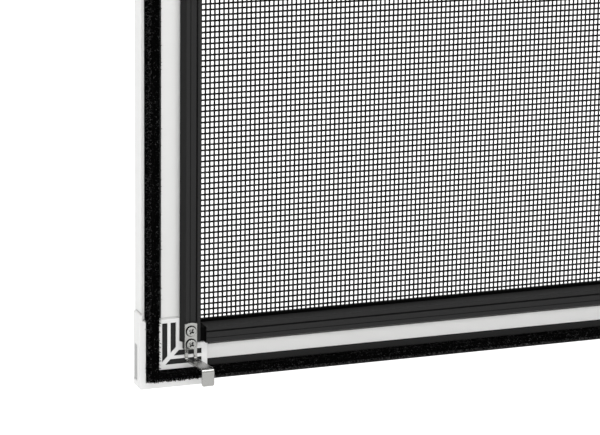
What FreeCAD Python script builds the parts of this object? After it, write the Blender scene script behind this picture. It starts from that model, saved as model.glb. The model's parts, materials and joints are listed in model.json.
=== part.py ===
import FreeCAD, Part
import math
import os

# Framed insect screen that hangs on a window by four bent hooks.
# Millimetres: X across, Z up, Y back from the window side. The origin is under the middle of the whole part.

# Overall size, over the corner blocks
screen_width = 500.0
screen_height = 600.0

# Extruded rail section, measured across from its outer edge and back from its front
rail_width = 23.4
rail_depth = 8.0
rail_wall = 1.2
flange_width = 1.4
brush_slot_width = 4.2
brush_slot_depth = 2.6
brush_undercut = 0.35
brush_undercut_height = 1.1
lip_width = 2.7
cover_channel_width = 8.5
bar_seat_depth = 4.0

# White strip over the outer side of each upright
edge_strip_thickness = 0.4
edge_strip_round = 0.3

# Pale cover strip in the channel of each rail
cover_thickness = 1.2
cover_sink = 0.4
cover_clearance = 0.1
cover_round = 0.3

# Brush seal: backing strip and pile
brush_clearance = 0.1
backing_thickness = 0.9
pile_proud = 5.6
pile_round = 0.8
pile_lean_outer = 1.1
pile_lean_inner = 0.9

# Bar that clamps the mesh: a cap that overhangs the cover, with a groove and a score line along its front
bar_proud = 5.2
bar_wall = 1.3
bar_clearance = 0.1
bar_ledge = 0.1
bar_overhang = 1.5
bar_cap_under = 2.2
bar_bevel = 1.7
bar_edge_round = 0.4
bar_score_offset = 3.4
bar_score_width = 0.4
bar_score_depth = 0.25
bar_groove_offset = 6.1
bar_groove_width = 0.7
bar_groove_depth = 1.0
bar_end_gap = 1.2
level_bar_lap = 1.45

# Rubber gasket along the inner edge of each bar, with a plug between two bars at each corner
gasket_thickness = 1.2
gasket_height = 0.8
gasket_round = 0.3
plug_sink = 0.8
plug_clearance = 0.1

# Corner block
corner_overlap = 3.85
corner_proud = 1.2
corner_front = 2.0
corner_depth = 8.0
corner_round = 0.6
corner_rim = 2.0
leg_fall = 0.3
ear_length = 2.65
pocket_set_out = 0.1
pocket_width = 2.2
pocket_rib = 1.35
pocket_depth = 0.4
upright_end_wall = 1.7
level_end_wall = 2.45
mitre_rib = 1.8
side_recess_start = 2.9
side_recess_length = 14.9
side_recess_front = 1.2
side_recess_depth = 0.8

# Corner key inside the block, seen through its pockets, with a tongue into each rail
key_margin = 0.7
key_floor = 4.6
key_end_wall = 1.2
tongue_length = 28.0
tongue_clearance = 0.15
tongue_chamfer = 0.8

# Woven mesh: a thin wall with threads in relief and rows of gaps
mesh_thickness = 0.5
mesh_grip = 2.0
mesh_clearance = 0.3
mesh_columns = 7
mesh_rows = 9
mesh_open_share = 0.72
threads_per_band = 2
thread_pitch = 4.4
thread_width = 0.6
thread_relief = 0.25

# Hanging hook, bent from strip
hook_width = 5.05
hook_set_out = 0.325
hook_thickness = 0.8
hook_bend = 0.6
hook_reach = 27.5
hook_leg_rise = 2.1
hook_lip_length = 7.1
hook_lip_round = 0.7
hook_plate_above = 3.4
hook_plate_below = 6.0
hook_arch = 0.45
hook_slot_width = 2.5
hook_slot_above = 3.7
hook_slot_along = 7.5
bar_tail_width = 4.6
bar_tail_below = 2.6

# Hook screws
screw_above_leg = 0.7
screw_spacing = 5.4
screw_shank = 2.3
screw_length = 8.6
screw_head = 4.0
screw_head_height = 1.0
screw_head_proud = 0.75
screw_clearance = 0.1
screw_sink_clearance = 0.25
screw_recess_length = 2.2
screw_recess_width = 0.7
screw_recess_depth = 1.0
screw_recess_turn = 35.0

# Places across the rail section
slot_outer = flange_width
slot_inner = slot_outer + brush_slot_width
lip_inner = slot_inner + lip_width
bar_outer = lip_inner + cover_channel_width
bar_start = bar_outer + bar_clearance
bar_inner = rail_width - bar_ledge
cap_outer = bar_start - bar_overhang
rim_outer = lip_inner - corner_rim
cover_floor = cover_sink + cover_thickness
bar_front = -bar_proud
mesh_front = bar_seat_depth - mesh_thickness
chamber_floor = rail_depth - rail_wall

# Places on the corner block, measured in from its outer edges
inner_edge = corner_proud + rail_width
corner_size = inner_edge + corner_overlap
pocket_start = corner_proud + lip_inner - pocket_set_out
corner_back = corner_depth - corner_front
leg_top = corner_proud + bar_outer - leg_fall
bar_end = leg_top + bar_end_gap
level_bar_start = corner_size - level_bar_lap
hook_centre = corner_proud + (cap_outer + bar_inner) / 2 - hook_set_out
screw_heights = [leg_top + screw_above_leg, leg_top + screw_above_leg + screw_spacing]
plate_front = bar_front - hook_thickness
plate_top = screw_heights[1] + hook_plate_above
hook_leg_top = screw_heights[0] - hook_plate_below
hook_leg_slope = hook_leg_rise / (hook_reach + plate_front)

# The whole part reaches from the hook lips to the back of the rails
left_edge = -screen_width / 2
front_plane = (hook_reach - rail_depth) / 2
across = FreeCAD.Vector(1, 0, 0)
back = FreeCAD.Vector(0, 1, 0)
up = FreeCAD.Vector(0, 0, 1)
overshoot = 1.0


def upright_point(inset, depth):
    """Point of an upright's section: inset from the left upright's outer edge, depth from the front."""
    return FreeCAD.Vector(left_edge + corner_proud + inset, front_plane + depth, 0)


def level_point(inset, depth):
    """Point of a cross rail's section: inset from the bottom rail's outer edge, depth from the front."""
    return FreeCAD.Vector(left_edge, front_plane + depth, corner_proud + inset)


def front_point(right, height):
    """Point of the front view, measured from the outer edges of the lower left corner block."""
    return FreeCAD.Vector(left_edge + right, front_plane, height)


def hook_point(depth, height):
    """Point of the hook's side view, at the hook's left edge."""
    return FreeCAD.Vector(left_edge + hook_centre - hook_width / 2, front_plane + depth, height)


def outline(corners, place):
    """Closed outline through (p, q) corners, rounded at those that also give a radius."""
    points = [place(corner[0], corner[1]) for corner in corners]
    entries = []
    exits = []
    arcs = []
    for index, corner in enumerate(corners):
        here = points[index]
        if len(corner) == 2:
            entries.append(here)
            exits.append(here)
            arcs.append(None)
            continue
        radius = corner[2]
        to_last = (points[index - 1] - here).normalize()
        to_next = (points[(index + 1) % len(points)] - here).normalize()
        half_angle = to_last.getAngle(to_next) / 2
        reach = radius / math.tan(half_angle)
        inward = (to_last + to_next).normalize()
        middle = here + inward * (radius / math.sin(half_angle) - radius)
        entries.append(here + to_last * reach)
        exits.append(here + to_next * reach)
        arcs.append(Part.Arc(entries[-1], middle, exits[-1]))
    edges = []
    for index in range(len(points)):
        if arcs[index]:
            edges.append(arcs[index].toShape())
        following = (index + 1) % len(points)
        edges.append(Part.LineSegment(exits[index], entries[following]).toShape())
    return Part.Wire(edges)


def prism(corners, place, start, length, direction):
    """Straight solid with the given outline, starting this far along its direction."""
    wire = outline(corners, place)
    wire.translate(direction * start)
    return Part.Face(wire).extrude(direction * length)


def upright(corners, start, end):
    """Piece of constant section along the left upright."""
    return prism(corners, upright_point, start, end - start, up)


def level(corners, start, end):
    """Piece of constant section along the bottom rail."""
    return prism(corners, level_point, start, end - start, across)


def front_prism(corners, near, far):
    """Piece with a front-view outline, from one depth to another."""
    return prism(corners, front_point, near, far - near, back)


def rectangle(low_p, high_p, low_q, high_q):
    """Corners of a plain rectangle."""
    return [(low_p, low_q), (high_p, low_q), (high_p, high_q), (low_p, high_q)]


def front_box(left, right, low, high, near, far):
    """Block given by its front-view limits and two depths."""
    return front_prism(rectangle(left, right, low, high), near, far)


def screw_slot(near, far):
    """Upright slot that takes both screws of the lower left hook."""
    reach = screw_shank / 2 + screw_clearance
    low = screw_heights[0] - reach
    high = screw_heights[1] + reach
    return front_box(hook_centre - reach, hook_centre + reach, low, high, near, far)


def mirrored_right(shape):
    """The same piece on the right-hand side."""
    return shape.mirror(FreeCAD.Vector(0, 0, 0), across)


def mirrored_top(shape):
    """The same piece at the top."""
    return shape.mirror(FreeCAD.Vector(0, 0, screen_height / 2), up)


def mitred_upright(shape):
    """Upright piece cut at 45 degrees where it meets the two level ones."""
    upper = screen_height - corner_size
    wedge = [(0, 0), (corner_size, corner_size), (corner_size, upper), (0, screen_height)]
    return shape.common(front_prism(wedge, -rail_depth, rail_depth))


def mitred_level(shape):
    """Level piece cut at 45 degrees where it meets the two uprights."""
    right = screen_width - corner_size
    wedge = [(0, 0), (screen_width, 0), (right, corner_size), (corner_size, corner_size)]
    return shape.common(front_prism(wedge, -rail_depth, rail_depth))


def rail_corners(skin):
    """Outer outline of the extrusion, with its outer side set in by the thickness of a strip over it."""
    shoulder = brush_slot_depth - brush_undercut_height
    return [
        (skin, skin),
        (slot_outer, skin),
        (slot_outer, shoulder),
        (slot_outer - brush_undercut, shoulder),
        (slot_outer - brush_undercut, brush_slot_depth),
        (slot_inner + brush_undercut, brush_slot_depth),
        (slot_inner + brush_undercut, shoulder),
        (slot_inner, shoulder),
        (slot_inner, 0),
        (lip_inner, 0),
        (lip_inner, cover_floor),
        (bar_outer, cover_floor),
        (bar_outer, bar_seat_depth),
        (rail_width, bar_seat_depth),
        (rail_width, rail_depth),
        (skin, rail_depth),
    ]


def chamber_corners(clearance):
    """Stepped hollow of the rail that takes the corner block's tongue."""
    near_side = rail_wall + clearance
    far_side = bar_outer - rail_wall - clearance
    slot_roof = brush_slot_depth + rail_wall + clearance
    cover_roof = cover_floor + rail_wall + clearance
    step = slot_inner + brush_undercut + rail_wall + clearance
    floor = chamber_floor - clearance
    return [
        (near_side, slot_roof),
        (step, slot_roof),
        (step, cover_roof),
        (far_side, cover_roof),
        (far_side, floor),
        (near_side, floor),
    ]


def extrusion(sweep, skin, end):
    """Hollow rail between two corner blocks."""
    inner_hollow = rectangle(bar_outer, rail_width - rail_wall, bar_seat_depth + rail_wall, chamber_floor)
    body = sweep(rail_corners(skin), corner_size, end)
    body = body.cut(sweep(chamber_corners(0), corner_size, end))
    return body.cut(sweep(inner_hollow, corner_size, end))


def edge_strip():
    """Angle strip over the outer side and front flange of the left upright."""
    skin = edge_strip_thickness
    corners = [
        (0, 0, edge_strip_round),
        (slot_outer, 0),
        (slot_outer, skin),
        (skin, skin),
        (skin, rail_depth),
        (0, rail_depth),
    ]
    return upright(corners, corner_size, screen_height - corner_size)


def cover(sweep, end):
    """Flat strip that closes the channel between the lip and the bar."""
    near_side = lip_inner + cover_clearance
    far_side = bar_outer - cover_clearance
    corners = [
        (near_side, cover_sink, cover_round),
        (far_side, cover_sink, cover_round),
        (far_side, cover_floor),
        (near_side, cover_floor),
    ]
    return sweep(corners, corner_size, end)


def brush(sweep, end):
    """Tall pile, leaning inwards, on a backing strip that slides in the undercut slot."""
    shoulder = brush_slot_depth - backing_thickness
    pile_near = slot_outer + brush_clearance
    pile_far = slot_inner - brush_clearance
    backing_near = pile_near - brush_undercut
    backing_far = pile_far + brush_undercut
    corners = [
        (pile_near, 0),
        (pile_near + pile_lean_outer, -pile_proud, pile_round),
        (pile_far + pile_lean_inner, -pile_proud, pile_round),
        (pile_far, 0),
        (pile_far, shoulder),
        (backing_far, shoulder),
        (backing_far, brush_slot_depth),
        (backing_near, brush_slot_depth),
        (backing_near, shoulder),
        (pile_near, shoulder),
    ]
    return sweep(corners, 0, end)


def mesh_bar(sweep, start, end):
    """Hollow bar with an overhanging bevelled cap, a score line and a groove along its front."""
    score = cap_outer + bar_score_offset
    groove = cap_outer + bar_groove_offset
    groove_floor = bar_front + bar_groove_depth
    relief = bar_inner - mesh_grip - mesh_clearance
    corners = [
        (bar_start, bar_seat_depth),
        (bar_start, -bar_cap_under),
        (cap_outer, -bar_cap_under),
        (cap_outer + bar_bevel, bar_front),
        (score - bar_score_width / 2, bar_front),
        (score, bar_front + bar_score_depth),
        (score + bar_score_width / 2, bar_front),
        (groove - bar_groove_width / 2, bar_front),
        (groove - bar_groove_width / 2, groove_floor),
        (groove + bar_groove_width / 2, groove_floor),
        (groove + bar_groove_width / 2, bar_front),
        (bar_inner, bar_front, bar_edge_round),
        (bar_inner, mesh_front),
        (relief, mesh_front),
        (relief, bar_seat_depth),
    ]
    hollow_front = groove_floor + bar_wall
    hollow_back = mesh_front - bar_wall
    hollow = rectangle(bar_start + bar_wall, bar_inner - bar_wall, hollow_front, hollow_back)
    return sweep(corners, start, end).cut(sweep(hollow, start, end))


def upright_mesh_bar():
    """Left bar, whose front wall runs on under each hook as a narrow tail."""
    tail_end = screw_heights[0] - bar_tail_below
    bar = mesh_bar(upright, tail_end, screen_height - tail_end)
    tail_near = hook_centre - bar_tail_width / 2
    tail_far = hook_centre + bar_tail_width / 2
    waste = front_box(0, tail_near, 0, bar_end, -rail_depth, rail_depth)
    waste = waste.fuse(front_box(tail_far, corner_size, 0, bar_end, -rail_depth, rail_depth))
    waste = waste.fuse(front_box(0, corner_size, 0, bar_end, -corner_front, rail_depth))
    waste = waste.fuse(screw_slot(-rail_depth, rail_depth))
    return bar.cut(waste).cut(mirrored_top(waste))


def level_mesh_bar():
    """Bottom bar, whose cap is cut back where a corner block stands under it."""
    bar = mesh_bar(level, level_bar_start, screen_width - level_bar_start)
    waste = front_box(0, corner_size + bar_clearance, 0, leg_top + bar_clearance, -rail_depth, rail_depth)
    return bar.cut(waste).cut(mirrored_right(waste))


def gasket(sweep, start, end):
    """Rubber strip against the inner face of a bar."""
    front = mesh_front - gasket_height
    corners = [
        (bar_inner, front),
        (bar_inner + gasket_thickness, front, gasket_round),
        (bar_inner + gasket_thickness, mesh_front),
        (bar_inner, mesh_front),
    ]
    return sweep(corners, start, end)


def upright_gasket():
    """Left gasket with a plug at each end, between its bar and the end of a level bar."""
    strip = gasket(upright, bar_end, screen_height - bar_end)
    bar_side = corner_proud + bar_inner
    plug_end = level_bar_start - plug_clearance
    plug = front_box(bar_side, plug_end, bar_end, bar_side, bar_front + plug_sink, mesh_front)
    return strip.fuse([plug, mirrored_top(plug)]).removeSplitter()


def brush_slot(sweep):
    """Undercut slot as it runs on through a corner block."""
    shoulder = brush_slot_depth - brush_undercut_height
    corners = [
        (slot_outer, -corner_front - overshoot),
        (rim_outer, -corner_front - overshoot),
        (rim_outer, 0),
        (slot_inner, 0),
        (slot_inner, shoulder),
        (slot_inner + brush_undercut, shoulder),
        (slot_inner + brush_undercut, brush_slot_depth),
        (slot_outer - brush_undercut, brush_slot_depth),
        (slot_outer - brush_undercut, shoulder),
        (slot_outer, shoulder),
    ]
    return sweep(corners, 0, corner_size + overshoot)


def corner_pockets():
    """Two shallow pockets in each leg of the corner block, ending at the mitre rib."""
    rib_offset = mitre_rib / math.sqrt(2)
    near = -corner_front - overshoot
    far = pocket_depth - corner_front
    pockets = []
    for number in range(2):
        low = pocket_start + number * (pocket_width + pocket_rib)
        high = low + pocket_width
        top = corner_size - upright_end_wall
        side = corner_size - level_end_wall
        upright_pocket = [(low, low + rib_offset), (high, high + rib_offset), (high, top), (low, top)]
        level_pocket = [(low + rib_offset, low), (side, low), (side, high), (high + rib_offset, high)]
        pockets.append(front_prism(upright_pocket, near, far))
        pockets.append(front_prism(level_pocket, near, far))
    return pockets


def side_recesses():
    """Shallow recess in each outer side of the corner block, open at its back."""
    low = side_recess_start
    high = side_recess_start + side_recess_length
    near = side_recess_front
    far = corner_back + overshoot
    upright_recess = front_box(-overshoot, side_recess_depth, low, high, near, far)
    level_recess = front_box(low, high, -overshoot, side_recess_depth, near, far)
    return [upright_recess, level_recess]


def tongue(sweep):
    """Tongue that plugs into the hollow of a rail, with a chamfered tip."""
    tip = corner_size + tongue_length
    body = sweep(chamber_corners(tongue_clearance), corner_size, tip)
    tip_face = max(body.Faces, key=lambda face: face.CenterOfMass.x + face.CenterOfMass.z)
    return body.makeChamfer(tongue_chamfer, tip_face.Edges)


def corner_key():
    """L-shaped key of the lower left corner: flat arms behind the pockets, each with a neck and a tongue."""
    low = pocket_start - key_margin
    high = pocket_start + 2 * pocket_width + pocket_rib + key_margin
    near = pocket_depth - corner_front
    end = corner_size - key_end_wall
    neck_near = cover_floor + rail_wall + tongue_clearance
    arms = front_box(low, high, low, end, near, key_floor)
    arms = arms.fuse(front_box(low, end, low, high, near, key_floor))
    necks = front_box(low, high, end, corner_size, neck_near, key_floor)
    necks = necks.fuse(front_box(end, corner_size, low, high, neck_near, key_floor))
    return arms.fuse([necks, tongue(upright), tongue(level)]).removeSplitter()


def corner_block():
    """Moulded lower left corner block, around its key."""
    plan = [
        (0, 0, corner_round),
        (corner_size, 0),
        (corner_size, inner_edge),
        (inner_edge, inner_edge),
        (inner_edge, corner_size),
        (0, corner_size),
    ]
    block = front_prism(plan, -corner_front, corner_back)
    ear_end = corner_size + ear_length
    upright_ear = front_box(0, corner_proud, corner_size - overshoot, ear_end, -corner_front, corner_back)
    level_ear = front_box(corner_size - overshoot, ear_end, 0, corner_proud, -corner_front, corner_back)
    block = block.fuse([upright_ear, level_ear])
    near = -corner_front - overshoot
    bar_seat = front_box(corner_proud + bar_outer, corner_size + overshoot, leg_top, corner_size + overshoot,
                         near, bar_seat_depth)
    waste = [bar_seat, mitred_upright(brush_slot(upright)), mitred_level(brush_slot(level)), corner_key()]
    waste += corner_pockets()
    waste += side_recesses()
    waste.append(screw_slot(near, bar_seat_depth))
    return block.cut(waste).removeSplitter()


def insect_mesh():
    """Woven mesh as one thin wall, with threads in relief on both faces and rows of gaps."""
    edge = corner_proud + bar_inner - mesh_grip
    wall = front_box(edge, screen_width - edge, edge, screen_height - edge, mesh_front, bar_seat_depth)
    low = inner_edge + gasket_thickness + mesh_clearance
    column_pitch = (screen_width - 2 * low) / mesh_columns
    row_pitch = (screen_height - 2 * low) / mesh_rows
    half_width = thread_width / 2
    threads = []
    for position in thread_places(mesh_columns, column_pitch):
        inset = low - corner_proud + position
        corners = [(inset - half_width, bar_seat_depth), (inset, mesh_front - thread_relief),
                   (inset + half_width, bar_seat_depth)]
        threads.append(upright(corners, low, screen_height - low))
    for position in thread_places(mesh_rows, row_pitch):
        inset = low - corner_proud + position
        corners = [(inset - half_width, mesh_front), (inset, bar_seat_depth + thread_relief),
                   (inset + half_width, mesh_front)]
        threads.append(level(corners, low, screen_width - low))
    gaps = []
    gap_width = column_pitch * mesh_open_share
    gap_height = row_pitch * mesh_open_share
    for column in range(mesh_columns):
        left = low + (column + 0.5) * column_pitch - gap_width / 2
        for row in range(mesh_rows):
            bottom = low + (row + 0.5) * row_pitch - gap_height / 2
            gaps.append(front_box(left, left + gap_width, bottom, bottom + gap_height, 0, rail_depth))
    return wall.fuse(threads).cut(Part.Compound(gaps)).removeSplitter()


def thread_places(bands, band_pitch):
    """Places of the threads: a few on each band between two rows of gaps, none outside the open area."""
    places = []
    for band in range(bands + 1):
        for number in range(threads_per_band):
            place = band * band_pitch + (number - (threads_per_band - 1) / 2) * thread_pitch
            if thread_width < place < bands * band_pitch - thread_width:
                places.append(place)
    return places


def hook():
    """Lower left hook: screwed plate, leg that rises towards the window and lip turned down."""
    outer_bend = hook_bend + hook_thickness
    lip_back = hook_thickness - hook_reach
    upright_thickness = hook_thickness * math.sqrt(1 + hook_leg_slope ** 2)

    def leg_top_at(depth):
        return hook_leg_top + hook_leg_slope * (plate_front - depth)

    leg_low = leg_top_at(bar_front) - upright_thickness
    lip_end = leg_top_at(-hook_reach) - hook_lip_length
    strip = [
        (bar_front, plate_top),
        (bar_front, leg_low, outer_bend),
        (lip_back, leg_top_at(lip_back) - upright_thickness, hook_bend),
        (lip_back, lip_end),
        (-hook_reach, lip_end),
        (-hook_reach, leg_top_at(-hook_reach), outer_bend),
        (plate_front, hook_leg_top, hook_bend),
        (plate_front, plate_top),
    ]
    body = prism(strip, hook_point, 0, hook_width, across)
    left = hook_centre - hook_width / 2
    right = hook_centre + hook_width / 2
    arch_radius = (hook_width ** 2 / 4 + hook_arch ** 2) / (2 * hook_arch)
    trim_plan = [(left, lip_end, hook_lip_round), (right, lip_end, hook_lip_round), (right, plate_top),
                 (left, plate_top)]
    far_front = -hook_reach - overshoot
    trim = front_prism(trim_plan, far_front, rail_depth)
    arch_centre = front_point(hook_centre, plate_top - arch_radius) + back * far_front
    arch = Part.makeCylinder(arch_radius, hook_reach + rail_depth, arch_centre, back)
    below_arch = front_box(left, right, lip_end, plate_top - 2 * hook_arch, far_front, rail_depth)
    body = body.common(trim).common(arch.fuse(below_arch))
    slot_left = hook_centre - hook_slot_width / 2
    slot_top = hook_leg_top + hook_slot_above
    slot_end = plate_front - hook_slot_along
    waste = [front_box(slot_left, slot_left + hook_slot_width, leg_low - overshoot, slot_top, slot_end,
                       bar_front + overshoot)]
    sink_radius = screw_head / 2 + screw_sink_clearance
    for height in screw_heights:
        centre = front_point(hook_centre, height) + back * plate_front
        waste.append(Part.makeCone(sink_radius, sink_radius - hook_thickness, hook_thickness, centre, back))
    return body.cut(waste)


def hook_screw(height):
    """Screw with a conical head and a cross recess."""
    rim = plate_front - screw_head_proud
    tip = plate_front + screw_length
    centre = front_point(hook_centre, height)

    def spot(radius, depth):
        return centre + across * radius + back * depth

    side = Part.makePolygon([
        spot(0, rim),
        spot(screw_head / 2, rim),
        spot(screw_shank / 2, rim + screw_head_height),
        spot(screw_shank / 2, tip),
        spot(0, tip),
        spot(0, rim),
    ])
    screw = Part.Face(Part.Wire(side.Edges)).revolve(centre, back, 360)
    half_length = screw_recess_length / 2
    half_width = screw_recess_width / 2
    recess_floor = rim + screw_recess_depth
    level_slot = front_box(hook_centre - half_length, hook_centre + half_length, height - half_width,
                           height + half_width, rim - overshoot, recess_floor)
    upright_slot = front_box(hook_centre - half_width, hook_centre + half_width, height - half_length,
                             height + half_length, rim - overshoot, recess_floor)
    recess = level_slot.fuse(upright_slot)
    recess.rotate(centre, back, screw_recess_turn)
    return screw.cut(recess)


def four_corners(name, shape):
    """A lower left piece and its three mirror images."""
    right = mirrored_right(shape)
    return {
        name + "_bottom_left": shape,
        name + "_bottom_right": right,
        name + "_top_left": mirrored_top(shape),
        name + "_top_right": mirrored_top(right),
    }


def four_sides(name, left, bottom):
    """A left and a bottom piece with their mirror images."""
    return {
        name + "_left": left,
        name + "_right": mirrored_right(left),
        name + "_bottom": bottom,
        name + "_top": mirrored_top(bottom),
    }


def build_nodes():
    """All pieces of the screen by name."""
    upright_end = screen_height - corner_size
    level_end = screen_width - corner_size
    stile = extrusion(upright, edge_strip_thickness, upright_end)
    rail = extrusion(level, 0, level_end)
    strip = edge_strip()
    nodes = {
        "stile_left": stile,
        "stile_right": mirrored_right(stile),
        "rail_bottom": rail,
        "rail_top": mirrored_top(rail),
        "edge_strip_left": strip,
        "edge_strip_right": mirrored_right(strip),
        "insect_mesh": insect_mesh(),
    }
    nodes.update(four_corners("corner", corner_block()))
    nodes.update(four_corners("corner_key", corner_key()))
    nodes.update(four_corners("hook", hook()))
    nodes.update(four_sides("cover", cover(upright, upright_end), cover(level, level_end)))
    upright_brush = mitred_upright(brush(upright, screen_height))
    level_brush = mitred_level(brush(level, screen_width))
    nodes.update(four_sides("brush", upright_brush, level_brush))
    nodes.update(four_sides("mesh_bar", upright_mesh_bar(), level_mesh_bar()))
    level_gasket = gasket(level, level_bar_start, screen_width - level_bar_start)
    nodes.update(four_sides("gasket", upright_gasket(), level_gasket))
    screws = []
    for height in screw_heights:
        screws += four_corners("screw", hook_screw(height)).values()
    nodes["hook_screws"] = Part.Compound(screws)
    return nodes


os.makedirs("parts", exist_ok=True)
for node, shape in build_nodes().items():
    shape.exportStep(os.path.join("parts", node + ".step"))
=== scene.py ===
import bpy
import json
from mathutils import Matrix, Vector


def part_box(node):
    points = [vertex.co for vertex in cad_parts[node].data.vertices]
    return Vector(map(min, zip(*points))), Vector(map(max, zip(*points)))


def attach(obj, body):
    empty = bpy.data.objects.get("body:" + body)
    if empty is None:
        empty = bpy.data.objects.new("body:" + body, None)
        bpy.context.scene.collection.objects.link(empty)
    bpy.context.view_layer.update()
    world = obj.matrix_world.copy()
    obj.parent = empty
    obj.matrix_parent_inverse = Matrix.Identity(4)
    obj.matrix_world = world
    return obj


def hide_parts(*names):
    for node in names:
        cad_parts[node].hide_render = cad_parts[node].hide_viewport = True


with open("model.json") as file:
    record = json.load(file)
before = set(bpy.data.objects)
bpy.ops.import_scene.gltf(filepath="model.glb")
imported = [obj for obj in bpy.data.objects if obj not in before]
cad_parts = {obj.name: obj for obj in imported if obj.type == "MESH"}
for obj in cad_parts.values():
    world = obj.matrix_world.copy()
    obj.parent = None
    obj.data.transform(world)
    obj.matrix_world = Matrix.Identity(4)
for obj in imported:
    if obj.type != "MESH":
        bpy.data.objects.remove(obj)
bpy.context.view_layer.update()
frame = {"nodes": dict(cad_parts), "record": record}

MM = 0.001
WHITE = (1, 1, 1, 1)

# Camera, found from the mesh lines and the rail edges of the photograph
PHOTO_WIDTH = 600
FOCAL_PIXELS = 3114
SENSOR_WIDTH = 36.0
CAMERA_REACH = 40.0
CAMERA_FROM_RAIL_CORNER = Vector((-355, -1133, 387)) * MM
CAMERA_RIGHT = Vector((0.938, -0.347, 0.012)).normalized()
CAMERA_BACKWARD = Vector((-0.338, -0.905, 0.257)).normalized()

# Woven mesh of flattened threads
THREAD_RADIUS = 0.38 * MM
THREAD_FLATNESS = 0.5
THREAD_SIDES = 8
UPRIGHT_PITCH = 1.89 * MM
LEVEL_PITCH = 2.265 * MM
FIRST_UPRIGHT = 0.88 * MM
FIRST_LEVEL = 2.28 * MM
WEAVE_OFFSET = 0.16 * MM

# Brush seal, measured inwards from the frame's outer edges and back from the front of the rails
PILE_ROOT_OUTER = 3.0 * MM
PILE_ROOT_INNER = 6.7 * MM
PILE_ROOT_DEPTH = 1.2 * MM
PILE_HEIGHT = 5.6 * MM
PILE_ROWS = 3
OUTER_LEAN = 0.27
INNER_LEAN = 0.12
CORE_INSET = 0.2 * MM
CORE_BELOW_TIP = 0.35 * MM
FIBRE_RADIUS = 0.12 * MM
FIBRE_SIDES = 3
FIBRE_LENGTH_SPREAD = 0.6 * MM
FIBRE_TILT = 0.1
FIBRES_PER_AREA = 6.0e6
# Amount of painted highlights on the fibres: lighter specks that stand in for glints
FIBRE_GLINT_SPECKLE = 1.07
INWARD = {
    "left": Vector((1, 0, 0)),
    "right": Vector((-1, 0, 0)),
    "bottom": Vector((0, 0, 1)),
    "top": Vector((0, 0, -1)),
}

# Loose tufts on the outer side of the pile, between two lines given by inset and depth
TUFT_ROOT_LOW = (3.05 * MM, -0.9 * MM)
TUFT_ROOT_HIGH = (4.2 * MM, -4.6 * MM)
TUFT_RADIUS = 0.15 * MM
TUFT_SHORTEST = 0.4 * MM
TUFT_LONGEST = 1.4 * MM
TUFT_LEAN = -0.9
TUFT_TILT = 0.6
TUFTS_PER_AREA = 2.2e6
# Amount of painted highlights on the tufts, more than on the pile
TUFT_GLINT_SPECKLE = 1.2

# Grip ribs in the recesses of the corner blocks' outer sides
RECESS_START = 2.9 * MM
RECESS_LENGTH = 14.9 * MM
RECESS_FLOOR = 0.8 * MM
RECESS_NEAR = 1.2 * MM
RECESS_FAR = 6.0 * MM
RIB_PITCH = 0.62 * MM
RIB_THICKNESS = 0.3 * MM
RIB_HEIGHT = 0.8 * MM
RIB_SINK = 0.05 * MM
RIB_END_GAP = 0.2 * MM

# Finishes
# Painted shade: samples and falloff of the ambient occlusion that darkens colours in crevices
CREVICE_SHADE_SAMPLES = 8
CREVICE_SHADE_POWER = 2.0
EDGE_SAMPLES = 4
GRAIN_DETAIL = 3.0
PILE_TONE = 0.0004
# Painted highlights on the pile: lighter specks in the fibres' colour stand in for glints
GLINT_SPECK_TONE = 0.08
GLINT_SPECK_START = 0.56
GLINT_SPECK_FULL = 0.75
GLINT_SPECK_DETAIL = 1.0
GLINT_SPECKS_PER_METRE = 1100

# Studio
FLOOR_DROP = 60 * MM
FLOOR_SIZE = 12.0
FLOOR_COLOUR = (0.82, 0.82, 0.82)
FLOOR_ROUGHNESS = 0.9
FLOOR_GLOW = 0.55
ROOM_LIGHT = 0.42
BACKDROP_LIGHT = 1.1
BACKDROP_START = -0.2
BACKDROP_FULL = 0.4
LIGHT_TARGET = Vector((-0.2, 0, 0.1))


def rail_corner():
    """Outer lower left corner of the frame, on the front plane of the rails."""
    block_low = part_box("corner_bottom_left")[0]
    rail_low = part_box("rail_bottom")[0]
    return Vector((block_low[0], rail_low[1], block_low[2]))


CORNER = rail_corner()
SCREEN_WIDTH = -2 * CORNER.x
SCREEN_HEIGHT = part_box("corner_top_left")[1][2] - CORNER.z


def add_camera():
    """Camera at the photograph's viewing angle."""
    data = bpy.data.cameras.new("photo_camera")
    data.sensor_width = SENSOR_WIDTH
    data.lens = FOCAL_PIXELS / PHOTO_WIDTH * SENSOR_WIDTH
    data.clip_end = CAMERA_REACH
    camera = bpy.data.objects.new("photo_camera", data)
    bpy.context.scene.collection.objects.link(camera)
    upward = CAMERA_BACKWARD.cross(CAMERA_RIGHT).normalized()
    right = upward.cross(CAMERA_BACKWARD)
    turn = Matrix((right, upward, CAMERA_BACKWARD)).transposed()
    camera.matrix_world = Matrix.Translation(CORNER + CAMERA_FROM_RAIL_CORNER) @ turn.to_4x4()
    bpy.context.scene.camera = camera


def even_finish(name, colour, roughness, metallic=0.0, specular=0.5):
    """Material of one even colour."""
    material = bpy.data.materials.new(name)
    material.use_nodes = True
    shader = material.node_tree.nodes["Principled BSDF"]
    shader.inputs["Base Color"].default_value = (*colour, 1)
    shader.inputs["Roughness"].default_value = roughness
    shader.inputs["Metallic"].default_value = metallic
    shader.inputs["Specular IOR Level"].default_value = specular
    return material


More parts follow.
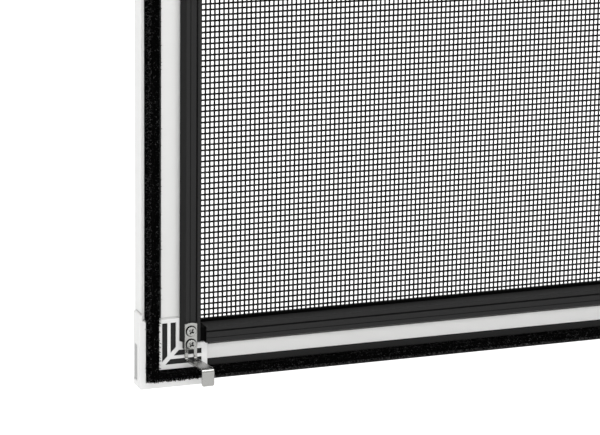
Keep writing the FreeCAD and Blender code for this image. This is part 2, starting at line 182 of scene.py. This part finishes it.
def paint_crevice_shade(material, reach, shade_tone):
    """Paint shade into a finish's colour: mix a darker colour in by ambient occlusion where surfaces lie
    close together.
    """
    tree = material.node_tree
    colour = tree.nodes["Principled BSDF"].inputs["Base Color"]
    openness = tree.nodes.new("ShaderNodeAmbientOcclusion")
    openness.samples = CREVICE_SHADE_SAMPLES
    openness.inputs["Distance"].default_value = reach
    depth = tree.nodes.new("ShaderNodeMath")
    depth.operation = "POWER"
    depth.inputs[1].default_value = CREVICE_SHADE_POWER
    # painted shade: the base colour goes darker where the ambient occlusion finds near surfaces
    shade = tree.nodes.new("ShaderNodeMix")
    shade.data_type = "RGBA"
    shade.inputs["A"].default_value = (shade_tone, shade_tone, shade_tone, 1)
    shade.inputs["B"].default_value = colour.default_value
    tree.links.new(openness.outputs["AO"], depth.inputs[0])
    tree.links.new(depth.outputs["Value"], shade.inputs["Factor"])
    tree.links.new(shade.outputs["Result"], colour)


def soften_edges(material, radius):
    """Let the sharp edges of a finish catch the light as rounded ones do."""
    tree = material.node_tree
    bevel = tree.nodes.new("ShaderNodeBevel")
    bevel.samples = EDGE_SAMPLES
    bevel.inputs["Radius"].default_value = radius
    tree.links.new(bevel.outputs["Normal"], tree.nodes["Principled BSDF"].inputs["Normal"])


def add_grain(material, per_metre, depth):
    """Fine bumps over a finish whose edges are softened, at a fineness for each direction."""
    tree = material.node_tree
    normal = tree.nodes["Principled BSDF"].inputs["Normal"]
    softened = normal.links[0].from_socket
    place = tree.nodes.new("ShaderNodeTexCoord")
    stretch = tree.nodes.new("ShaderNodeMapping")
    stretch.inputs["Scale"].default_value = per_metre
    noise = tree.nodes.new("ShaderNodeTexNoise")
    noise.inputs["Scale"].default_value = 1.0
    noise.inputs["Detail"].default_value = GRAIN_DETAIL
    bump = tree.nodes.new("ShaderNodeBump")
    bump.inputs["Strength"].default_value = 1.0
    bump.inputs["Distance"].default_value = depth
    tree.links.new(place.outputs["Object"], stretch.inputs["Vector"])
    tree.links.new(stretch.outputs["Vector"], noise.inputs["Vector"])
    tree.links.new(noise.outputs["Fac"], bump.inputs["Height"])
    tree.links.new(softened, bump.inputs["Normal"])
    tree.links.new(bump.outputs["Normal"], normal)


def grey_paint():
    """Matt dark paint of the rails, the bars and the keys in the corners."""
    material = even_finish("grey_paint", (0.026, 0.026, 0.026), roughness=0.4, specular=0.03)
    # Painted shade: the paint goes almost black in grooves and where parts meet
    paint_crevice_shade(material, reach=0.8 * MM, shade_tone=0.01)
    soften_edges(material, radius=0.15 * MM)
    add_grain(material, per_metre=(2500, 2500, 2500), depth=0.01 * MM)
    return material


def white_plastic():
    """Moulded plastic of the corner blocks and the edge strips."""
    material = even_finish("white_plastic", (0.76, 0.76, 0.755), roughness=0.45)
    # Painted shade: the plastic goes grey along seams and inner edges
    paint_crevice_shade(material, reach=0.5 * MM, shade_tone=0.3)
    soften_edges(material, radius=0.25 * MM)
    return material


def pale_strip():
    """Smooth plastic of the cover strips."""
    material = even_finish("pale_strip", (0.79, 0.79, 0.78), roughness=0.5)
    soften_edges(material, radius=0.15 * MM)
    return material


def black_pile():
    """Black fibres with painted highlights: lighter specks in the colour stand in for glints on the fibres,
    more of them where the fibres' stored amount is higher.
    """
    material = even_finish("black_pile", (PILE_TONE, PILE_TONE, PILE_TONE), roughness=0.5, specular=0.01)
    tree = material.node_tree
    place = tree.nodes.new("ShaderNodeTexCoord")
    noise = tree.nodes.new("ShaderNodeTexNoise")
    noise.inputs["Scale"].default_value = GLINT_SPECKS_PER_METRE
    noise.inputs["Detail"].default_value = GLINT_SPECK_DETAIL
    amount = tree.nodes.new("ShaderNodeAttribute")
    amount.attribute_name = "glint_speckle"
    speckled = tree.nodes.new("ShaderNodeMath")
    speckled.operation = "MULTIPLY"
    specks = tree.nodes.new("ShaderNodeValToRGB")
    dark, light = specks.color_ramp.elements
    dark.position = GLINT_SPECK_START
    dark.color = (PILE_TONE, PILE_TONE, PILE_TONE, 1)
    light.position = GLINT_SPECK_FULL
    light.color = (GLINT_SPECK_TONE, GLINT_SPECK_TONE, GLINT_SPECK_TONE, 1)
    tree.links.new(place.outputs["Object"], noise.inputs["Vector"])
    tree.links.new(noise.outputs["Fac"], speckled.inputs[0])
    tree.links.new(amount.outputs["Fac"], speckled.inputs[1])
    tree.links.new(speckled.outputs["Value"], specks.inputs["Fac"])
    tree.links.new(specks.outputs["Color"], tree.nodes["Principled BSDF"].inputs["Base Color"])
    return material


def black_rubber():
    """Dull rubber of the gaskets."""
    return even_finish("black_rubber", (0.001, 0.001, 0.001), roughness=0.6, specular=0.02)


def black_mesh():
    """Coated thread of the insect mesh."""
    return even_finish("black_mesh", (0.004, 0.004, 0.004), roughness=0.7, specular=0.05)


def stainless_steel():
    """Brushed metal of the hooks and their screws."""
    material = even_finish("stainless_steel", (0.31, 0.31, 0.3), roughness=0.16, metallic=1.0)
    # Painted shade: the metal goes black in the gaps round the screw heads and other narrow crevices
    paint_crevice_shade(material, reach=0.8 * MM, shade_tone=0.01)
    soften_edges(material, radius=0.35 * MM)
    add_grain(material, per_metre=(3000, 60, 60), depth=0.006 * MM)
    return material


def paint(name, material):
    """Give a CAD node its finish."""
    data = frame["nodes"][name].data
    data.materials.clear()
    data.materials.append(material)


def group_with_inputs(name, inputs):
    """Empty geometry node group with a geometry output and named inputs, and the inputs' sockets by name."""
    group = bpy.data.node_groups.new(name, "GeometryNodeTree")
    sockets = {}
    for label, kind in inputs:
        sockets[label] = group.interface.new_socket(label, in_out="INPUT", socket_type="NodeSocket" + kind)
    group.interface.new_socket("Geometry", in_out="OUTPUT", socket_type="NodeSocketGeometry")
    return group, sockets


def tube(group, end, radius, sides):
    """Nodes for a closed straight tube from the origin to a point, which is a socket or a fixed value."""
    nodes, links = group.nodes, group.links
    line = nodes.new("GeometryNodeCurvePrimitiveLine")
    line.inputs["Start"].default_value = (0, 0, 0)
    if isinstance(end, bpy.types.NodeSocket):
        links.new(end, line.inputs["End"])
    else:
        line.inputs["End"].default_value = end
    circle = nodes.new("GeometryNodeCurvePrimitiveCircle")
    circle.inputs["Resolution"].default_value = sides
    links.new(radius, circle.inputs["Radius"])
    sweep = nodes.new("GeometryNodeCurveToMesh")
    sweep.inputs["Fill Caps"].default_value = True
    links.new(line.outputs["Curve"], sweep.inputs["Curve"])
    links.new(circle.outputs["Curve"], sweep.inputs["Profile Curve"])
    return sweep.outputs["Mesh"]


def copies_in_row(group, shape, count, first, step):
    """Nodes for copies of a shape at points in a straight row."""
    nodes, links = group.nodes, group.links
    row = nodes.new("GeometryNodeMeshLine")
    links.new(count, row.inputs["Count"])
    links.new(first, row.inputs["Start Location"])
    links.new(step, row.inputs["Offset"])
    copies = nodes.new("GeometryNodeInstanceOnPoints")
    links.new(row.outputs["Mesh"], copies.inputs["Points"])
    links.new(shape, copies.inputs["Instance"])
    return copies.outputs["Instances"]


def thread_row(group, given, prefix):
    """Nodes for one direction of threads: a flattened tube repeated in a row."""
    thread = tube(group, given[prefix + " reach"], given["Thread radius"], THREAD_SIDES)
    flat = group.nodes.new("GeometryNodeTransform")
    group.links.new(thread, flat.inputs["Geometry"])
    group.links.new(given["Thread shape"], flat.inputs["Scale"])
    return copies_in_row(group, flat.outputs["Geometry"], given[prefix + " count"],
                         given[prefix + " first"], given[prefix + " step"])


def finish_group(group, shapes, material):
    """End of a group: real geometry with its material."""
    nodes, links = group.nodes, group.links
    join = nodes.new("GeometryNodeJoinGeometry")
    for shape in shapes:
        links.new(shape, join.inputs["Geometry"])
    real = nodes.new("GeometryNodeRealizeInstances")
    colour = nodes.new("GeometryNodeSetMaterial")
    colour.inputs["Material"].default_value = material
    out = nodes.new("NodeGroupOutput")
    links.new(join.outputs["Geometry"], real.inputs["Geometry"])
    links.new(real.outputs["Geometry"], colour.inputs["Geometry"])
    links.new(colour.outputs["Geometry"], out.inputs["Geometry"])


def evaluated_piece(name, base, group, sockets, values):
    """Plain mesh object with the group's result on a base mesh."""
    carrier = bpy.data.objects.new(name + "_carrier", base)
    bpy.context.scene.collection.objects.link(carrier)
    modifier = carrier.modifiers.new("pattern", "NODES")
    modifier.node_group = group
    for label, value in values.items():
        modifier[sockets[label].identifier] = value
    depsgraph = bpy.context.evaluated_depsgraph_get()
    depsgraph.update()
    data = bpy.data.meshes.new_from_object(carrier.evaluated_get(depsgraph))
    data.name = name
    carrier.modifiers.remove(modifier)
    bpy.data.objects.remove(carrier)
    piece = bpy.data.objects.new(name, data)
    bpy.context.scene.collection.objects.link(piece)
    return piece


def joined(pieces):
    """First of the pieces, with the others joined to it."""
    with bpy.context.temp_override(active_object=pieces[0], selected_editable_objects=pieces,
                                   selected_objects=pieces, object=pieces[0]):
        bpy.ops.object.join()
    return pieces[0]


def thread_group(material):
    """Geometry nodes for a row of upright threads and a row of level ones."""
    inputs = [("Geometry", "Geometry"), ("Thread radius", "Float"), ("Thread shape", "Vector")]
    for prefix in ("Upright", "Level"):
        inputs += [(prefix + " first", "Vector"), (prefix + " reach", "Vector"),
                   (prefix + " step", "Vector"), (prefix + " count", "Int")]
    group, sockets = group_with_inputs("thread_pattern", inputs)
    given = group.nodes.new("NodeGroupInput").outputs
    rows = [thread_row(group, given, "Upright"), thread_row(group, given, "Level")]
    finish_group(group, rows, material)
    return group, sockets


def mesh_threads(material):
    """Insect mesh: upright threads just in front of level ones."""
    group, sockets = thread_group(material)
    low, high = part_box("insect_mesh")
    middle = (low[1] + high[1]) / 2
    upright_x = low[0] + FIRST_UPRIGHT
    level_z = low[2] + FIRST_LEVEL
    values = {
        "Thread radius": THREAD_RADIUS,
        "Thread shape": (1, THREAD_FLATNESS, 1),
        "Upright first": (upright_x, middle - WEAVE_OFFSET, low[2]),
        "Upright reach": (0, 0, high[2] - low[2]),
        "Upright step": (UPRIGHT_PITCH, 0, 0),
        "Upright count": int((high[0] - upright_x - THREAD_RADIUS) / UPRIGHT_PITCH) + 1,
        "Level first": (low[0], middle + WEAVE_OFFSET, level_z),
        "Level reach": (high[0] - low[0], 0, 0),
        "Level step": (0, 0, LEVEL_PITCH),
        "Level count": int((high[2] - level_z - THREAD_RADIUS) / LEVEL_PITCH) + 1,
    }
    piece = evaluated_piece("mesh_threads", bpy.data.meshes.new("empty"), group, sockets, values)
    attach(piece, "root")
    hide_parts("insect_mesh")


def side_point(side, inset, depth, at_end):
    """Point beside one edge of the frame, on the corner's 45 degree line at its start or end."""
    y = CORNER.y + depth
    if side in ("left", "right"):
        x = inset if side == "left" else SCREEN_WIDTH - inset
        z = SCREEN_HEIGHT - inset if at_end else inset
    else:
        x = SCREEN_WIDTH - inset if at_end else inset
        z = inset if side == "bottom" else SCREEN_HEIGHT - inset
    return Vector((CORNER.x + x, y, CORNER.z + z))


def prism_mesh(name, side, section):
    """Closed mesh of a section swept along one edge of the frame, mitred at both ends."""
    count = len(section)
    points = [side_point(side, inset, depth, False) for inset, depth in section]
    points += [side_point(side, inset, depth, True) for inset, depth in section]
    faces = [list(range(count))[::-1], list(range(count, 2 * count))]
    for index in range(count):
        following = (index + 1) % count
        faces.append([index, following, count + following, count + index])
    data = bpy.data.meshes.new(name)
    data.from_pydata(points, [], faces)
    data.validate()
    return data


def pile_section():
    """Dark core of the pile, just inside the tips and sides of the fibres."""
    rise = PILE_HEIGHT - CORE_BELOW_TIP
    outer = PILE_ROOT_OUTER + CORE_INSET
    inner = PILE_ROOT_INNER - CORE_INSET
    return [
        (outer, PILE_ROOT_DEPTH),
        (outer, 0),
        (outer + OUTER_LEAN * rise, -rise),
        (inner + INNER_LEAN * rise, -rise),
        (inner, 0),
        (inner, PILE_ROOT_DEPTH),
    ]


def random_between(group, kind, low, high, seed):
    """Socket with a random value between two given ones, drawn for each fibre."""
    draw = group.nodes.new("FunctionNodeRandomValue")
    draw.data_type = kind
    limits = [socket for socket in draw.inputs if socket.type == low.type and socket.enabled]
    group.links.new(low, limits[0])
    group.links.new(high, limits[1])
    group.links.new(seed, draw.inputs["Seed"])
    return [socket for socket in draw.outputs if socket.enabled][0]


def fibre_group(material):
    """Geometry nodes that stand leaning fibres on a root strip."""
    inputs = [("Geometry", "Geometry"), ("Density", "Float"), ("Seed", "Int"), ("Fibre radius", "Float"),
              ("Shortest", "Float"), ("Longest", "Float"), ("Least direction", "Vector"),
              ("Most direction", "Vector"), ("Speckle", "Float")]
    group, sockets = group_with_inputs("fibre_pattern", inputs)
    nodes, links = group.nodes, group.links
    given = nodes.new("NodeGroupInput").outputs
    scatter = nodes.new("GeometryNodeDistributePointsOnFaces")
    links.new(given["Geometry"], scatter.inputs["Mesh"])
    links.new(given["Density"], scatter.inputs["Density"])
    links.new(given["Seed"], scatter.inputs["Seed"])
    direction = random_between(group, "FLOAT_VECTOR", given["Least direction"], given["Most direction"],
                               given["Seed"])
    length = random_between(group, "FLOAT", given["Shortest"], given["Longest"], given["Seed"])
    turn = nodes.new("FunctionNodeAlignRotationToVector")
    turn.axis = "Z"
    links.new(direction, turn.inputs["Vector"])
    size = nodes.new("ShaderNodeCombineXYZ")
    size.inputs["X"].default_value = 1.0
    size.inputs["Y"].default_value = 1.0
    links.new(length, size.inputs["Z"])
    fibre = tube(group, (0, 0, 1), given["Fibre radius"], FIBRE_SIDES)
    # Store each fibre's amount of painted highlight specks for its material
    marked = nodes.new("GeometryNodeStoreNamedAttribute")
    marked.data_type = "FLOAT"
    marked.domain = "POINT"
    marked.inputs["Name"].default_value = "glint_speckle"
    links.new(fibre, marked.inputs["Geometry"])
    links.new(given["Speckle"], marked.inputs["Value"])
    copies = nodes.new("GeometryNodeInstanceOnPoints")
    links.new(scatter.outputs["Points"], copies.inputs["Points"])
    links.new(marked.outputs["Geometry"], copies.inputs["Instance"])
    links.new(turn.outputs["Rotation"], copies.inputs["Rotation"])
    links.new(size.outputs["Vector"], copies.inputs["Scale"])
    finish_group(group, [copies.outputs["Instances"]], material)
    return group, sockets


def fibre_row(name, side, seed, pattern, edges, sizes, lean, tilt):
    """Fibres on a strip along one edge of the frame, between two lines given by inset and depth."""
    group, sockets = pattern
    first, second = edges
    ends = [(*first, False), (*second, False), (*second, True), (*first, True)]
    root = bpy.data.meshes.new("root_strip")
    root.from_pydata([side_point(side, *end) for end in ends], [], [(0, 1, 2, 3)])
    middle = Vector((0, -1, 0)) + INWARD[side] * lean
    spread = Vector((tilt, 0, tilt))
    values = dict(sizes)
    values["Seed"] = seed
    values["Least direction"] = middle - spread
    values["Most direction"] = middle + spread
    return evaluated_piece(name, root, group, sockets, values)


def pile_rows(side, seed, pattern):
    """Rows of upright fibres, which lean less towards the inside."""
    whole = PILE_ROOT_DEPTH + PILE_HEIGHT
    sizes = {
        "Density": FIBRES_PER_AREA,
        "Fibre radius": FIBRE_RADIUS,
        "Shortest": whole - FIBRE_LENGTH_SPREAD,
        "Longest": whole + FIBRE_LENGTH_SPREAD / 2,
        "Speckle": FIBRE_GLINT_SPECKLE,
    }
    row_width = (PILE_ROOT_INNER - PILE_ROOT_OUTER) / PILE_ROWS
    rows = []
    for row in range(PILE_ROWS):
        outer = PILE_ROOT_OUTER + row * row_width
        edges = ((outer, PILE_ROOT_DEPTH), (outer + row_width, PILE_ROOT_DEPTH))
        lean = OUTER_LEAN + (INNER_LEAN - OUTER_LEAN) * row / (PILE_ROWS - 1)
        rows.append(fibre_row("brush_pile_" + side, side, seed, pattern, edges, sizes, lean, FIBRE_TILT))
    return rows


def loose_tufts(side, seed, pattern):
    """Short tufts that stand out from the outer side of the pile."""
    sizes = {
        "Density": TUFTS_PER_AREA,
        "Fibre radius": TUFT_RADIUS,
        "Shortest": TUFT_SHORTEST,
        "Longest": TUFT_LONGEST,
        "Speckle": TUFT_GLINT_SPECKLE,
    }
    edges = (TUFT_ROOT_LOW, TUFT_ROOT_HIGH)
    return fibre_row("tufts", side, seed, pattern, edges, sizes, TUFT_LEAN, TUFT_TILT)


def pile_core(side, material):
    """Dark core that closes the pile between its fibres."""
    core = bpy.data.objects.new("core", prism_mesh("core", side, pile_section()))
    core.data.materials.append(material)
    bpy.context.scene.collection.objects.link(core)
    return core


def brush_pile(side, seed, pattern, material):
    """Pile of one brush seal: rows of fibres, tufts and core in one piece."""
    rows = pile_rows(side, seed, pattern)
    tufts = loose_tufts(side, seed, pattern)
    core = pile_core(side, material)
    brush = joined(rows + [tufts, core])
    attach(brush, "root")
    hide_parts("brush_" + side)


def rib_group(material):
    """Geometry nodes for a row of straight ribs."""
    inputs = [("Geometry", "Geometry"), ("Rib size", "Vector"), ("First", "Vector"), ("Step", "Vector"),
              ("Count", "Int")]
    group, sockets = group_with_inputs("rib_pattern", inputs)
    given = group.nodes.new("NodeGroupInput").outputs
    rib = group.nodes.new("GeometryNodeMeshCube")
    group.links.new(given["Rib size"], rib.inputs["Size"])
    row = copies_in_row(group, rib.outputs["Mesh"], given["Count"], given["First"], given["Step"])
    finish_group(group, [row], material)
    return group, sockets


def corner_point(right, top, across, up, depth):
    """Point given by its distances from one outer corner of the frame and its depth."""
    x = SCREEN_WIDTH - across if right else across
    z = SCREEN_HEIGHT - up if top else up
    return CORNER + Vector((x, depth, z))


def grip_ribs(material):
    """Fine ribs across the recesses in the outer sides of the four corner blocks."""
    group, sockets = rib_group(material)
    count = int(RECESS_LENGTH / RIB_PITCH)
    length = RECESS_FAR - RECESS_NEAR - RIB_END_GAP
    depth = RECESS_NEAR + length / 2
    middle = RECESS_FLOOR + RIB_SINK - RIB_HEIGHT / 2
    start = RECESS_START + RIB_PITCH / 2
    rows = []
    for right in (False, True):
        for top in (False, True):
            upright = corner_point(right, top, middle, start, depth)
            upright_next = corner_point(right, top, middle, start + RIB_PITCH, depth)
            level = corner_point(right, top, start, middle, depth)
            level_next = corner_point(right, top, start + RIB_PITCH, middle, depth)
            for first, following, size in (
                    (upright, upright_next, (RIB_HEIGHT, length, RIB_THICKNESS)),
                    (level, level_next, (RIB_THICKNESS, length, RIB_HEIGHT))):
                values = {"Rib size": size, "First": first, "Step": following - first, "Count": count}
                base = bpy.data.meshes.new("empty")
                rows.append(evaluated_piece("grip_ribs", base, group, sockets, values))
    ribs = joined(rows)
    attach(ribs, "root")


def seen_rays(tree):
    """Socket that is 1 for what the camera, metal and glass show, and 0 for light on the object."""
    ray = tree.nodes.new("ShaderNodeLightPath")
    found = ray.outputs["Is Camera Ray"]
    for kind in ("Is Glossy Ray", "Is Transmission Ray"):
        either = tree.nodes.new("ShaderNodeMath")
        either.operation = "MAXIMUM"
        tree.links.new(found, either.inputs[0])
        tree.links.new(ray.outputs[kind], either.inputs[1])
        found = either.outputs["Value"]
    return found


def add_room():
    """Surroundings that look white and give soft light, more of it from behind the screen."""
    world = bpy.data.worlds.new("studio")
    bpy.context.scene.world = world
    world.use_nodes = True
    tree = world.node_tree
    seen = tree.nodes["Background"]
    seen.inputs["Color"].default_value = WHITE
    seen.inputs["Strength"].default_value = 1.0
    fill = tree.nodes.new("ShaderNodeBackground")
    fill.inputs["Color"].default_value = WHITE
    direction = tree.nodes.new("ShaderNodeTexCoord")
    parts = tree.nodes.new("ShaderNodeSeparateXYZ")
    behind = tree.nodes.new("ShaderNodeMapRange")
    behind.interpolation_type = "SMOOTHSTEP"
    behind.inputs["From Min"].default_value = BACKDROP_START
    behind.inputs["From Max"].default_value = BACKDROP_FULL
    behind.inputs["To Min"].default_value = ROOM_LIGHT
    behind.inputs["To Max"].default_value = BACKDROP_LIGHT
    tree.links.new(direction.outputs["Generated"], parts.inputs["Vector"])
    tree.links.new(parts.outputs["Y"], behind.inputs["Value"])
    tree.links.new(behind.outputs["Result"], fill.inputs["Strength"])
    mix = tree.nodes.new("ShaderNodeMixShader")
    tree.links.new(seen_rays(tree), mix.inputs["Fac"])
    tree.links.new(fill.outputs["Background"], mix.inputs[1])
    tree.links.new(seen.outputs["Background"], mix.inputs[2])
    tree.links.new(mix.outputs["Shader"], tree.nodes["World Output"].inputs["Surface"])


def pale_floor():
    """Matt floor that looks brighter than the light on it makes it."""
    material = even_finish("pale_floor", FLOOR_COLOUR, FLOOR_ROUGHNESS, specular=0.0)
    tree = material.node_tree
    shader = tree.nodes["Principled BSDF"]
    shader.inputs["Emission Color"].default_value = WHITE
    lift = tree.nodes.new("ShaderNodeMath")
    lift.operation = "MULTIPLY"
    lift.inputs[1].default_value = FLOOR_GLOW
    tree.links.new(seen_rays(tree), lift.inputs[0])
    tree.links.new(lift.outputs["Value"], shader.inputs["Emission Strength"])
    return material


def add_floor():
    """Wide floor below the screen."""
    half = FLOOR_SIZE / 2
    level = CORNER.z - FLOOR_DROP
    corners = [(-half, -half, level), (half, -half, level), (half, half, level), (-half, half, level)]
    data = bpy.data.meshes.new("floor")
    data.from_pydata(corners, [], [(0, 1, 2, 3)])
    data.materials.append(pale_floor())
    floor = bpy.data.objects.new("floor", data)
    bpy.context.scene.collection.objects.link(floor)


def add_area(name, place, size, power):
    """Square soft light that points at the lower left of the screen."""
    data = bpy.data.lights.new(name, "AREA")
    data.shape = "SQUARE"
    data.size = size
    data.energy = power
    light = bpy.data.objects.new(name, data)
    bpy.context.scene.collection.objects.link(light)
    light.location = place
    light.rotation_euler = (LIGHT_TARGET - Vector(place)).to_track_quat("-Z", "Y").to_euler()


def add_lights():
    """Soft lights to the left, in front and above."""
    add_area("left_light", place=(-2.4, 0.9, 0.7), size=1.4, power=8)
    add_area("front_light", place=(-0.9, -2.35, 1.1), size=1.2, power=33)
    add_area("top_light", place=(0.5, -1.0, 1.85), size=1.0, power=14)


finishes = {
    "grey_paint": grey_paint(),
    "white_plastic": white_plastic(),
    "pale_strip": pale_strip(),
    "black_pile": black_pile(),
    "black_rubber": black_rubber(),
    "black_mesh": black_mesh(),
    "stainless_steel": stainless_steel(),
}
for part in frame["record"]["subparts"]:
    paint(part["node"], finishes[part["material_slot"]])

add_camera()
add_room()
add_floor()
add_lights()
mesh_threads(finishes["black_mesh"])
grip_ribs(finishes["white_plastic"])
fibre_pattern = fibre_group(finishes["black_pile"])
for number, side in enumerate(("left", "right", "bottom", "top")):
    brush_pile(side, number + 1, fibre_pattern, finishes["black_pile"])

bpy.context.scene.view_settings.view_transform = "Standard"
